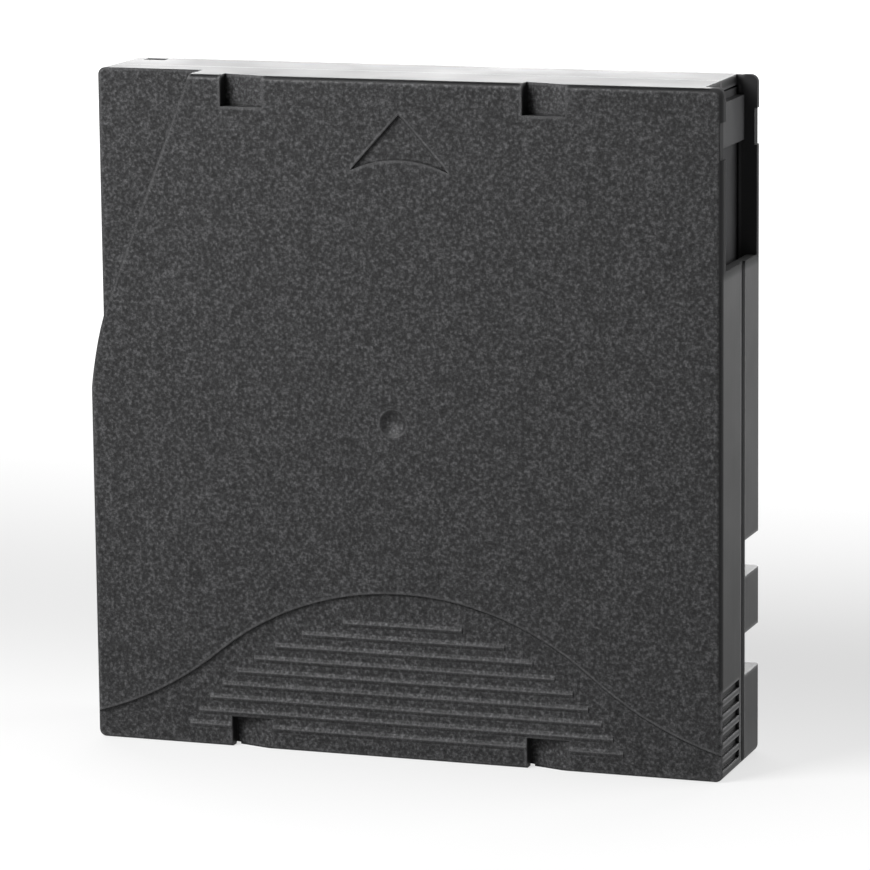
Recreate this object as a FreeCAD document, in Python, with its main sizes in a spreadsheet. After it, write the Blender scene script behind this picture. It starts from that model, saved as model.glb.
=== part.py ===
import FreeCAD, Part
import Sketcher
import math
import os
import re

# Data tape cartridge, half-inch single-reel kind, standing on its rear wall.
# Every piece is drawn with x across the width, y from the rear wall to the front edge and z up
# through the height, with z = 0 on the parting plane of the two case halves. A quarter turn
# about x then stands the cartridge up: y points up and the face with the arrow looks along -Y.

SIZES = {
    "case_width": 102.0,
    "case_depth": 105.4,
    "upper_height": 10.75,
    "lower_height": 10.75,
    "side_wall": 1.6,
    "roof_wall": 2.0,
    "floor_wall": 2.0,
    "corner_radius": 1.2,
    "edge_radius": 0.9,
    "run_gap": 0.3,
    "part_gap": 0.05,
    "overshoot": 1.0,
    "cut_skin": 0.01,
    # Insertion guide, the stepped-down front left corner of the upper half
    "guide_drop": 6.1,
    "guide_front": 17.5,
    "guide_side": 55.1,
    "guide_wall": 1.6,
    "guide_spread": 1.72,
    # Finger grip, a shallow scoop with ridges along the rear edge
    "grip_sink": 0.4,
    "grip_top": 26.1,
    "grip_radius": 47.0,
    "grip_turn": 29.8,
    "grip_flare": 57.0,
    "grip_side": 4.2,
    "ridge_margin": 4.1,
    "ridge_first": 3.3,
    "ridge_pitch": 2.2,
    "ridge_wide": 1.2,
    "ridge_rise": 0.2,
    "ridge_root": 0.2,
    "ridge_count": 9,
    # Grip grooves in the side walls
    "groove_first": 1.8,
    "groove_pitch": 2.19,
    "groove_wide": 1.23,
    "groove_sink": 0.55,
    "groove_low": 0.95,
    "groove_high": 10.25,
    "groove_count": 6,
    # Stacking notches, arrow and centre dimple in the face
    "stack_left": -28.4,
    "stack_right": 19.95,
    "stack_wide": 6.8,
    "stack_long": 4.8,
    "stack_deep": 2.4,
    "stack_shallow": 0.5,
    "stack_floor": 1.0,
    "arrow_centre": 0.4,
    "arrow_half": 7.9,
    "arrow_tip": 100.1,
    "arrow_long": 8.65,
    "arrow_hollow": 18.5,
    "arrow_sink": 0.45,
    "dimple_radius": 2.2,
    "dimple_sink": 0.6,
    "strip_height": 2.1,
    "strip_sink": 0.4,
    # Reel
    "reel_across": -1.05,
    "reel_back": 52.7,
    "reel_gap": 0.8,
    "flange_radius": 47.2,
    "flange_thick": 0.9,
    "tape_wide": 12.65,
    "tape_play": 0.275,
    "pack_radius": 45.5,
    "hub_radius": 22.0,
    "hub_wall": 2.4,
    "hub_floor": 1.4,
    "hub_eye": 3.0,
    "collar_inner": 12.6,
    "collar_outer": 17.8,
    "collar_drop": 1.05,
    "tooth_count": 60,
    "tooth_root": 0.95,
    "tooth_tip": 0.38,
    "drive_tooth": 1.0,
    "lock_tooth": 1.3,
    "lock_inner": 13.6,
    "lock_outer": 17.2,
    "lock_rise": 1.55,
    "tooth_inset": 0.2,
    "tooth_sunk": 0.1,
    "rib_thick": 1.2,
    "rim_wide": 2.0,
    "gear_gap": 0.4,
    "washer_inner": 5.5,
    "washer_thick": 0.9,
    "spigot_thick": 0.6,
    "spigot_long": 1.0,
    "spigot_gap": 0.1,
    "wind_gap": 0.05,
    # Brake and release pad
    "lift": 2.0,
    "pad_thick": 1.2,
    "pad_gap": 0.1,
    "pad_centre": 6.0,
    "arm_half": 2.2,
    "leg_inner": 14.0,
    "leg_outer": 16.4,
    "leg_inset": 1.45,
    "button_radius": 3.0,
    "button_rise": 0.2,
    "touch_gap": 0.2,
    "brake_radius": 18.2,
    "brake_thick": 1.2,
    "sleeve_radius": 5.6,
    "sleeve_long": 5.85,
    "cross_half": 4.0,
    "cross_thick": 1.2,
    "cross_gap": 0.25,
    "seat_rib": 1.0,
    "brake_wire": 0.4,
    "brake_coil": 7.2,
    "brake_turns": 4,
    # Door on the right wall
    "door_sink": 3.2,
    "door_thick": 1.2,
    "door_back": 78.0,
    "door_lap": 1.5,
    "door_stroke": 17.5,
    "track_deep": 0.5,
    "tab_back": 95.6,
    "tab_long": 6.8,
    "tab_rise": 1.3,
    "notch_back": 94.8,
    "notch_long": 5.6,
    "notch_sink": 0.4,
    "rod_radius": 0.5,
    "rod_long": 36.5,
    "stop_back": 42.5,
    "stop_thick": 1.5,
    "stop_wide": 3.2,
    "door_wire": 0.2,
    "door_coil": 0.85,
    "door_turns": 9,
    "wire_sides": 8,
    # Leader pin, clip, spring and tape end
    "pin_across": 41.7,
    "pin_back": 97.9,
    "pin_core": 1.15,
    "pin_flange": 2.2,
    "pin_flange_thick": 0.85,
    "pin_neck": 0.7,
    "pin_bevel": 0.35,
    "cradle_wall": 1.1,
    "cradle_rise": 1.2,
    "clip_thick": 0.6,
    "clip_open": 40.0,
    "clip_gap": 0.05,
    "film_thick": 0.2,
    "leaf_thick": 0.3,
    "leaf_long": 10.4,
    "leaf_gap": 0.2,
    "leaf_keep": 0.9,
    "leaf_flare": 0.9,
    "leaf_reach": 2.7,
    # Screws
    "screw_side": 5.5,
    "screw_rear": 9.0,
    "screw_front": 5.5,
    "screw_pin": 29.0,
    "screw_pin_front": 3.7,
    "boss_radius": 2.4,
    "shank_radius": 0.9,
    "shank_gap": 0.3,
    "thread_gap": 0.05,
    "head_radius": 1.7,
    "head_high": 1.6,
    "head_inset": 1.6,
    "screw_reach": 3.4,
    "drive_slot": 0.5,
    "drive_slot_long": 2.2,
    # Locating holes in the underside
    "datum_radius": 3.0,
    "datum_deep": 3.0,
    "datum_wall": 1.2,
    "datum_cap": 1.0,
    "datum_left": -40.5,
    "datum_front": 93.5,
    "datum_right": 38.5,
    "datum_rear": 14.0,
    "datum_slot": 2.0,
    # Gripper notches in the lower side walls
    "bite_deep": 3.6,
    "bite_wall": 1.4,
    "bite_high": 8.5,
    "bite_cap": 1.2,
    "bite_one": 29.35,
    "bite_one_long": 5.65,
    "bite_two": 13.9,
    "bite_two_long": 6.6,
    # Label area, front dash and write-protect switch
    "label_left": -31.0,
    "label_wide": 79.0,
    "label_half": 8.55,
    "label_sink": 0.3,
    "dash_left": 3.0,
    "dash_wide": 3.5,
    "dash_low": 2.0,
    "dash_high": 2.0,
    "dash_sink": 0.8,
    "slider_left": 5.3,
    "thumb_wide": 5.0,
    "thumb_low": 3.5,
    "thumb_high": 3.8,
    "thumb_inset": 0.3,
    "thumb_groove": 0.8,
    "slider_travel": 5.0,
    "slider_gap": 0.25,
    "slider_lap": 1.4,
    "slider_thick": 1.55,
    "slider_high": 6.3,
    "keeper_thick": 1.2,
    # Memory board in the rear right corner
    "board_left": 27.0,
    "board_long": 14.0,
    "board_thick": 0.8,
    "gusset_leg": 4.15,
    "gusset_thick": 1.0,
    "board_inset": 0.45,
}

# Heights and places that several pieces share, as expressions of the sizes
CEILING = "(upper_height - roof_wall)"
FLOOR = "(floor_wall - lower_height)"
RIGHT = "(case_width / 2)"
INNER = "(case_width / 2 - side_wall)"
FRONT = "(case_depth - side_wall)"
GUIDE_FLOOR = "(upper_height - guide_drop)"
GUIDE_RADIUS = "(flange_radius + reel_gap + guide_wall)"
TAPE_TOP = "(tape_wide / 2 + tape_play)"
FLANGE_TOP = "(tape_wide / 2 + tape_play + flange_thick)"
HUB_FLOOR_TOP = "(hub_floor - tape_wide / 2 - tape_play - flange_thick)"
LOCK_ROOT = "(hub_floor - tape_wide / 2 - tape_play - flange_thick + lock_rise)"
BRAKE_LOW = "(hub_floor - tape_wide / 2 - tape_play - flange_thick + lock_rise + lock_tooth + touch_gap)"
BRAKE_TOP = "(%s + brake_thick)" % BRAKE_LOW
DOOR_OUT = "(case_width / 2 - door_sink)"
DOOR_IN = "(case_width / 2 - door_sink - door_thick)"
DOOR_REAR = "(door_back - door_lap)"
ROD_ACROSS = "(case_width / 2 - door_sink - door_thick / 3)"
HEAD_LOW = "(head_inset - lower_height)"
HEAD_TOP = "(head_inset + head_high - lower_height)"
SLIDER_IN = "(side_wall + slider_gap)"
PAST_RIGHT = "(case_width / 2 + overshoot)"
PAST_LEFT = "(-case_width / 2 - overshoot)"
PAST_REAR = "-overshoot"
PAST_FRONT = "(case_depth + overshoot)"
PAST_TOP = "(upper_height + overshoot)"
PAST_BOTTOM = "(-lower_height - overshoot)"

# Where the ribs round the reel start and end, in degrees from +x
RIB_REAR_LEFT = ("197", "253")
RIB_REAR_RIGHT = ("287", "338")
RIB_FRONT_LEFT = ("107", "163")

doc = FreeCAD.newDocument("TapeCartridge")
sheet = doc.addObject("Spreadsheet::Sheet", "Sizes")
for row, (name, number) in enumerate(SIZES.items(), start=1):
    sheet.set("A%d" % row, name)
    sheet.set("B%d" % row, str(number))
    sheet.setAlias("B%d" % row, name)
doc.recompute()

PIECES = []
CUTS = []
SIZE_WORD = re.compile(r"\b[a-z]+(?:_[a-z]+)*\b")


def bound(text):
    """Write an expression of size names as the document wants it."""
    return SIZE_WORD.sub(lambda hit: "Sizes." + hit[0] if hit[0] in SIZES else hit[0], str(text))


def value(text):
    """The present number of an expression of size names."""
    return float(sheet.evalExpression(bound(text)))


def new_piece(label, x="0", y="0"):
    """Start a piece as a body of its own, standing up, with its origin at (x, y)."""
    body = doc.addObject("PartDesign::Body", label)
    body.Label = label
    body.Placement = FreeCAD.Placement(FreeCAD.Vector(), FreeCAD.Rotation(FreeCAD.Vector(1, 0, 0), 90))
    body.setExpression("Placement.Base.x", bound(x))
    body.setExpression("Placement.Base.z", bound(y))
    PIECES.append(body)
    return body


def new_sketch(body, name, plane="XY_Plane", offset="0"):
    """Start a sketch on one of the body's own planes, moved along the plane's normal."""
    sketch = body.newObject("Sketcher::SketchObject", "%s_%s" % (body.Label, name))
    planes = {item.Role: item for item in body.Origin.OriginFeatures}
    sketch.AttachmentSupport = (planes[plane], [""])
    sketch.MapMode = "FlatFace"
    sketch.setExpression("AttachmentOffset.Base.z", bound(offset))
    return sketch


def fix(sketch, kind, geometry, point, text):
    """Tie one coordinate of a sketch point to an expression."""
    number = sketch.addConstraint(Sketcher.Constraint(kind, -1, 1, geometry, point, value(text)))
    sketch.setExpression("Constraints[%d]" % number, bound(text))


def fix_radius(sketch, geometry, text):
    """Tie the radius of an arc or circle to an expression."""
    number = sketch.addConstraint(Sketcher.Constraint("Radius", geometry, value(text)))
    sketch.setExpression("Constraints[%d]" % number, bound(text))


def arc_between(start, end, radius):
    """The shorter arc from start to end. It turns left for a plus radius, right for a minus."""
    chord = end - start
    middle = (start + end) * 0.5
    rise = math.sqrt(max(radius * radius - chord.Length ** 2 / 4, 0.0))
    left = FreeCAD.Vector(-chord.y, chord.x, 0).normalize()
    centre = middle + left * math.copysign(rise, radius)
    first, last = (start, end) if radius > 0 else (end, start)
    first_angle = math.atan2(first.y - centre.y, first.x - centre.x)
    last_angle = math.atan2(last.y - centre.y, last.x - centre.x)
    circle = Part.Circle(centre, FreeCAD.Vector(0, 0, 1), abs(radius))
    return Part.ArcOfCircle(circle, first_angle, last_angle)


def outline(sketch, points):
    """Draw a closed outline. A point is (x, y), or (x, y, sign, radius) where an arc leads to it."""
    places = [FreeCAD.Vector(value(p[0]), value(p[1]), 0) for p in points]
    ends = []
    for index, point in enumerate(points):
        start = places[index - 1]
        if len(point) == 2:
            number = sketch.addGeometry(Part.LineSegment(start, places[index]), False)
            ends.append((number, 1, 2))
        else:
            sign, radius = point[2], point[3]
            number = sketch.addGeometry(arc_between(start, places[index], sign * value(radius)), False)
            fix_radius(sketch, number, radius)
            ends.append((number, 1, 2) if sign > 0 else (number, 2, 1))
    for index, (number, first, last) in enumerate(ends):
        following = ends[(index + 1) % len(ends)]
        sketch.addConstraint(Sketcher.Constraint("Coincident", number, last, following[0], following[1]))
        fix(sketch, "DistanceX", number, last, points[index][0])
        fix(sketch, "DistanceY", number, last, points[index][1])


def rectangle(sketch, x_low, y_low, x_high, y_high):
    """Draw a rectangle between two corners."""
    outline(sketch, [(x_low, y_low), (x_high, y_low), (x_high, y_high), (x_low, y_high)])


def round_rectangle(sketch, x_low, y_low, x_high, y_high, radius):
    """Draw a rectangle with rounded corners."""
    left = "(%s) + %s" % (x_low, radius)
    right = "(%s) - %s" % (x_high, radius)
    rear = "(%s) + %s" % (y_low, radius)
    front = "(%s) - %s" % (y_high, radius)
    outline(sketch, [
        (right, y_low), (x_high, rear, 1, radius), (x_high, front), (right, y_high, 1, radius),
        (left, y_high), (x_low, front, 1, radius), (x_low, rear), (left, y_low, 1, radius)])


def circle(sketch, x, y, radius):
    """Draw a circle."""
    centre = FreeCAD.Vector(value(x), value(y), 0)
    number = sketch.addGeometry(Part.Circle(centre, FreeCAD.Vector(0, 0, 1), value(radius)), False)
    fix(sketch, "DistanceX", number, 3, x)
    fix(sketch, "DistanceY", number, 3, y)
    fix_radius(sketch, number, radius)


def on_ring(radius, angle, x="reel_across", y="reel_back"):
    """A point at an angle in degrees on a circle, about the reel's axis unless given."""
    return ("(%s) + (%s) * cos(%s)" % (x, radius, angle), "(%s) + (%s) * sin(%s)" % (y, radius, angle))


def sector(sketch, inner, outer, start, end, x="reel_across", y="reel_back"):
    """Draw a curved strip between two radii and two angles, each arc in two halves."""
    half = "((%s) + (%s)) / 2" % (start, end)
    outline(sketch, [
        on_ring(outer, start, x, y),
        on_ring(outer, half, x, y) + (1, outer),
        on_ring(outer, end, x, y) + (1, outer),
        on_ring(inner, end, x, y),
        on_ring(inner, half, x, y) + (-1, inner),
        on_ring(inner, start, x, y) + (-1, inner)])


def feature(body, kind, sketch, length, backward):
    """Add a pad or a pocket of one length from a sketch."""
    made = body.newObject(kind, sketch.Label + "_" + kind.split("::")[1].lower())
    made.Profile = sketch
    made.setExpression("Length", bound(length))
    made.Reversed = backward
    made.Refine = False
    CUTS.append((made, kind.endswith("Pocket")))
    return made


def pad(body, sketch, length, backward=False):
    """Grow a sketch along its plane's normal."""
    return feature(body, "PartDesign::Pad", sketch, length, backward)


def pocket(body, sketch, length, backward=True):
    """Cut a sketch along its plane's normal, or against it when backward is off."""
    return feature(body, "PartDesign::Pocket", sketch, length, backward)


def between(body, sketch, low, high, cut=False):
    """Add or cut what a level sketch at low outlines, up to high."""
    grow = pocket if cut else pad
    return grow(body, sketch, "(%s) - (%s)" % (high, low))


def blocks(body, name, areas, low, high, cut=False):
    """Add or cut blocks of one height, each area an (x_low, y_low, x_high, y_high)."""
    sketch = new_sketch(body, name, offset=low)
    for area in areas:
        rectangle(sketch, *area)
    return between(body, sketch, low, high, cut)


def block(body, name, low, high, cut=False):
    """Add or cut a block between two corners, each an (x, y, z) of expressions."""
    return blocks(body, name, [(low[0], low[1], high[0], high[1])], low[2], high[2], cut)


def posts(body, name, places, radius, low, high, cut=False):
    """Add or cut upright cylinders of one size, each place an (x, y)."""
    sketch = new_sketch(body, name, offset=low)
    for x, y in places:
        circle(sketch, x, y, radius)
    return between(body, sketch, low, high, cut)


def post(body, name, x, y, radius, low, high, cut=False):
    """Add or cut an upright cylinder."""
    return posts(body, name, [(x, y)], radius, low, high, cut)


def both_sides(outer, inner, back, front):
    """The areas between two distances from the middle plane, on the left and on the right."""
    return [("-(%s)" % outer, back, "-(%s)" % inner, front), (inner, back, outer, front)]


def ring(body, name, inner, outer, low, high, x="reel_across", y="reel_back"):
    """Add an upright ring."""
    sketch = new_sketch(body, name, offset=low)
    circle(sketch, x, y, outer)
    circle(sketch, x, y, inner)
    return between(body, sketch, low, high)


def turned(body, name, points):
    """Turn a closed (radius, z) outline about the piece's own upright axis."""
    sketch = new_sketch(body, name, "XZ_Plane")
    outline(sketch, points)
    made = body.newObject("PartDesign::Revolution", sketch.Label + "_turn")
    made.Profile = sketch
    made.ReferenceAxis = (sketch, ["V_Axis"])
    made.Angle = 360
    return made


def around(body, originals, count):
    """Repeat features evenly around the piece's own upright axis."""
    axis = [item for item in body.Origin.OriginFeatures if item.Role == "Z_Axis"][0]
    made = body.newObject("PartDesign::PolarPattern", originals[0].Label + "_round")
    made.Originals = originals
    made.Axis = (axis, [""])
    made.Angle = 360
    made.Refine = False
    made.setExpression("Occurrences", bound(count))
    body.Tip = made
    return made


def face_teeth(body, name, inner, outer, root, tip, turn="0"):
    """Radial teeth that stand on a flat ring, the first of them turned by an angle in degrees."""
    sketch = new_sketch(body, name, "YZ_Plane")
    sketch.AttachmentOffset = FreeCAD.Placement(
        FreeCAD.Vector(), FreeCAD.Rotation(FreeCAD.Vector(0, 1, 0), value(turn)))
    start = "(%s + tooth_inset)" % inner
    sketch.setExpression("AttachmentOffset.Base.x", bound("%s * sin(%s)" % (start, turn)))
    sketch.setExpression("AttachmentOffset.Base.z", bound("%s * cos(%s)" % (start, turn)))
    down = value(tip) < value(root)
    anchor = "(%s) %s tooth_sunk" % (root, "+" if down else "-")
    outline(sketch, [
        ("-tooth_root / 2", anchor), ("tooth_root / 2", anchor),
        ("tooth_root / 2", root), ("tooth_tip / 2", tip),
        ("-tooth_tip / 2", tip), ("-tooth_root / 2", root)])
    tooth = pad(body, sketch, "(%s) - (%s) - 2 * tooth_inset" % (outer, inner))
    return around(body, [tooth], "tooth_count")


def round_edges(body, name, height, radius):
    """Round every edge of the last feature that lies wholly at one height."""
    doc.recompute()
    base = body.Tip
    level = value(height)
    edges = []
    for index, edge in enumerate(base.Shape.Edges, start=1):
        box = edge.BoundBox
        if abs(box.ZMin - level) < 1e-4 and abs(box.ZMax - level) < 1e-4:
            edges.append("Edge%d" % index)
    made = body.newObject("PartDesign::Fillet", "%s_%s" % (body.Label, name))
    made.Base = (base, edges)
    made.setExpression("Radius", bound(radius))
    return made


def shell_half(body, low, high, cavity_low, cavity_high, round_level):
    """One case half: a rounded slab with its outer edge softened, then hollowed out."""
    sketch = new_sketch(body, "slab", offset=low)
    round_rectangle(sketch, "-" + RIGHT, "0", RIGHT, "case_depth", "corner_radius")
    between(body, sketch, low, high)
    round_edges(body, "edge", round_level, "edge_radius")
    block(body, "cavity", ("-" + INNER, "side_wall", cavity_low), (INNER, FRONT, cavity_high), True)


def reel_ribs(body, spans, low, high):
    """Curved ribs that keep the reel in the middle of the case."""
    sketch = new_sketch(body, "reel_ribs", offset=low)
    inner = "(flange_radius + reel_gap)"
    outer = "(flange_radius + reel_gap + rib_thick)"
    for start, end in spans:
        sector(sketch, inner, outer, start, end)
    between(body, sketch, low, high)


def screw_places():
    """The axis of each case screw, by the corner it stands in."""
    return {
        "rear_left": ("screw_side - case_width / 2", "screw_rear"),
        "rear_right": ("case_width / 2 - screw_side", "screw_rear"),
        "front_left": ("screw_side - case_width / 2", "case_depth - screw_front"),
        "front_right": ("screw_pin", "case_depth - screw_pin_front")}


def pin_cradle(body, name, low, high):
    """A horseshoe that holds one end of the leader pin and opens towards the door."""
    sketch = new_sketch(body, name, offset=low)
    inner = "(pin_flange + run_gap)"
    outer = "(pin_flange + run_gap + cradle_wall)"
    sector(sketch, inner, outer, "90", "270", "pin_across", "pin_back")
    between(body, sketch, low, high)


def guide_region(sketch, inset, front_x, side_x, front_y, side_y):
    """The corner outside the guide wall: straight, round the reel, then out to the side."""
    centre = FreeCAD.Vector(value("reel_across"), value("reel_back"), 0)
    radius = value("%s - (%s)" % (GUIDE_RADIUS, inset))
    start = FreeCAD.Vector(value(front_x), value("case_depth"), 0)
    end = FreeCAD.Vector(value(side_x), value("guide_side"), 0)
    to_start = start - centre
    to_end = end - centre
    first = math.atan2(to_start.y, to_start.x) + math.acos(radius / to_start.Length)
    last = math.atan2(to_end.y, to_end.x) - math.acos(radius / to_end.Length)
    touch = centre + FreeCAD.Vector(math.cos(first), math.sin(first), 0) * radius
    leave = centre + FreeCAD.Vector(math.cos(last), math.sin(last), 0) * radius
    corner = FreeCAD.Vector(value(side_y), value(front_y), 0)
    wall = sketch.addGeometry(Part.LineSegment(start, touch), False)
    bend = sketch.addGeometry(Part.ArcOfCircle(
        Part.Circle(centre, FreeCAD.Vector(0, 0, 1), radius), first, last), False)
    blend = sketch.addGeometry(Part.LineSegment(leave, end), False)
    low = FreeCAD.Vector(corner.x, end.y, 0)
    high = FreeCAD.Vector(start.x, corner.y, 0)
    side = sketch.addGeometry(Part.LineSegment(end, low), False)
    left = sketch.addGeometry(Part.LineSegment(low, corner), False)
    top = sketch.addGeometry(Part.LineSegment(corner, high), False)
    back = sketch.addGeometry(Part.LineSegment(high, start), False)
    sketch.addConstraint(Sketcher.Constraint("Tangent", wall, 2, bend, 1))
    sketch.addConstraint(Sketcher.Constraint("Tangent", bend, 2, blend, 1))
    for one, other in ((blend, side), (side, left), (left, top), (top, back), (back, wall)):
        sketch.addConstraint(Sketcher.Constraint("Coincident", one, 2, other, 1))
    fix(sketch, "DistanceX", bend, 3, "reel_across")
    fix(sketch, "DistanceY", bend, 3, "reel_back")
    fix_radius(sketch, bend, "%s - (%s)" % (GUIDE_RADIUS, inset))
    fix(sketch, "DistanceX", wall, 1, front_x)
    fix(sketch, "DistanceY", wall, 1, "case_depth")
    fix(sketch, "DistanceX", blend, 2, side_x)
    fix(sketch, "DistanceY", blend, 2, "guide_side")
    fix(sketch, "DistanceX", left, 1, side_y)
    fix(sketch, "DistanceY", left, 1, "guide_side")
    fix(sketch, "DistanceX", left, 2, side_y)
    fix(sketch, "DistanceY", left, 2, front_y)
    fix(sketch, "DistanceX", top, 2, front_x)
    fix(sketch, "DistanceY", top, 2, front_y)


def stack_notches(body, name, back):
    """Two notches in an edge of the face, deep on the left, with a floor that rises to the right."""
    sketch = new_sketch(body, name, "XZ_Plane", "-(%s)" % back)
    for left in ("stack_left", "stack_right"):
        right = "%s + stack_wide" % left
        outline(sketch, [
            (left, "upper_height - stack_deep"), (right, "upper_height - stack_shallow"),
            (right, PAST_TOP), (left, PAST_TOP)])
    pocket(body, sketch, "stack_long", False)


def upper_details(body):
    """What the face of the upper half shows."""
    linings = []
    for left in ("stack_left", "stack_right"):
        low_x = left + " - stack_floor"
        high_x = left + " + stack_wide + stack_floor"
        linings.append((low_x, "side_wall / 2", high_x, "stack_long + stack_floor"))
        linings.append((low_x, "case_depth - stack_long - stack_floor",
                        high_x, "case_depth - side_wall / 2"))
    blocks(body, "stack_linings", linings, "upper_height - stack_deep - stack_floor", CEILING)
    stack_notches(body, "stack_rear", "0")
    stack_notches(body, "stack_front", "case_depth - stack_long")
    sketch = new_sketch(body, "arrow", offset="upper_height - arrow_sink")
    base = "arrow_tip - arrow_long"
    outline(sketch, [
        ("arrow_centre", "arrow_tip"), ("arrow_centre - arrow_half", base),
        ("arrow_centre + arrow_half", base, -1, "arrow_hollow")])
    pocket(body, sketch, "arrow_sink")
    sketch = new_sketch(body, "dimple", "XZ_Plane", "-reel_back")
    ball = "((dimple_radius * dimple_radius + dimple_sink * dimple_sink) / (2 * dimple_sink))"
    outline(sketch, [
        ("reel_across", "upper_height - dimple_sink"),
        ("reel_across + dimple_radius", "upper_height", 1, ball),
        ("reel_across", "upper_height")])
    spin = sketch.addGeometry(Part.LineSegment(
        FreeCAD.Vector(value("reel_across"), 0, 0),
        FreeCAD.Vector(value("reel_across"), value("dimple_radius"), 0)), True)
    sketch.addConstraint(Sketcher.Constraint("Vertical", spin))
    fix(sketch, "DistanceX", spin, 1, "reel_across")
    fix(sketch, "DistanceY", spin, 1, "0")
    fix(sketch, "DistanceY", spin, 2, "dimple_radius")
    made = body.newObject("PartDesign::Groove", "upper_case_dimple_groove")
    made.Profile = sketch
    made.ReferenceAxis = (sketch, ["Axis0"])
    made.Angle = 360
    CUTS.append((made, True))


def grip(body):
    """The finger grip: a scoop under an arch, with ridges that end on a smaller arch."""
    sketch = new_sketch(body, "grip", offset="upper_height - grip_sink")
    turn_y = "grip_top - grip_radius + sqrt(grip_radius * grip_radius - grip_turn * grip_turn)"
    outline(sketch, [
        (PAST_LEFT, PAST_REAR), (PAST_RIGHT, PAST_REAR),
        (PAST_RIGHT, "grip_side"), ("case_width / 2", "grip_side"),
        ("grip_turn", turn_y, -1, "grip_flare"), ("-grip_turn", turn_y, 1, "grip_radius"),
        ("-case_width / 2", "grip_side", -1, "grip_flare"), (PAST_LEFT, "grip_side")])
    pocket(body, sketch, "grip_sink + overshoot")
    for number in range(SIZES["ridge_count"]):
        place = "(ridge_first + %d * ridge_pitch)" % number
        reach = "(grip_radius - ridge_margin)"
        rise = "(%s - grip_top + grip_radius)" % place
        half = "sqrt(%s * %s - %s * %s)" % (reach, reach, rise, rise)
        sketch = new_sketch(body, "ridge_%d" % number, "YZ_Plane", "-" + half)
        outline(sketch, [
            (place + " - ridge_wide / 2", "upper_height - grip_sink"),
            (place + " - ridge_wide / 2", "upper_height - grip_sink - ridge_root"),
            (place + " + ridge_wide / 2", "upper_height - grip_sink - ridge_root"),
            (place + " + ridge_wide / 2", "upper_height - grip_sink"),
            (place, "upper_height - grip_sink + ridge_rise")])
        pad(body, sketch, "2 * " + half)


def side_grooves(body):
    """Upright grooves in both side walls, for the fingers."""
    sketch = new_sketch(body, "grooves", offset="groove_low")
    for area in both_sides(PAST_RIGHT, "case_width / 2 - groove_sink",
                           "groove_first", "groove_first + groove_wide"):
        rectangle(sketch, *area)
    first = pocket(body, sketch, "groove_high - groove_low")
    made = body.newObject("PartDesign::LinearPattern", "upper_case_groove_row")
    made.Originals = [first]
    made.Direction = (sketch, ["V_Axis"])
    made.setExpression("Length", bound("(groove_count - 1) * groove_pitch"))
    made.setExpression("Occurrences", bound("groove_count"))
    made.Refine = False
    body.Tip = made


def door_way(body, low, high, notch_low, notch_high, track_low, track_high):
    """The doorway in one half, the low place in its rim and the track that the door runs in."""
    block(body, "doorway", (DOOR_OUT, "door_back", low), (PAST_RIGHT, PAST_FRONT, high), True)
    block(body, "rim_notch", ("case_width / 2 - notch_sink", "notch_back", notch_low),
          (PAST_RIGHT, "notch_back + notch_long", notch_high), True)
    block(body, "track", (DOOR_IN + " - run_gap", DOOR_REAR + " - door_stroke - door_lap", track_low),
          (DOOR_OUT + " + run_gap", FRONT, track_high), True)


def label_area(body, low, high):
    """One half's share of the sunken label area in the rear wall."""
    block(body, "label", ("label_left", PAST_REAR, low),
          ("label_left + label_wide", "label_sink", high), True)


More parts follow.
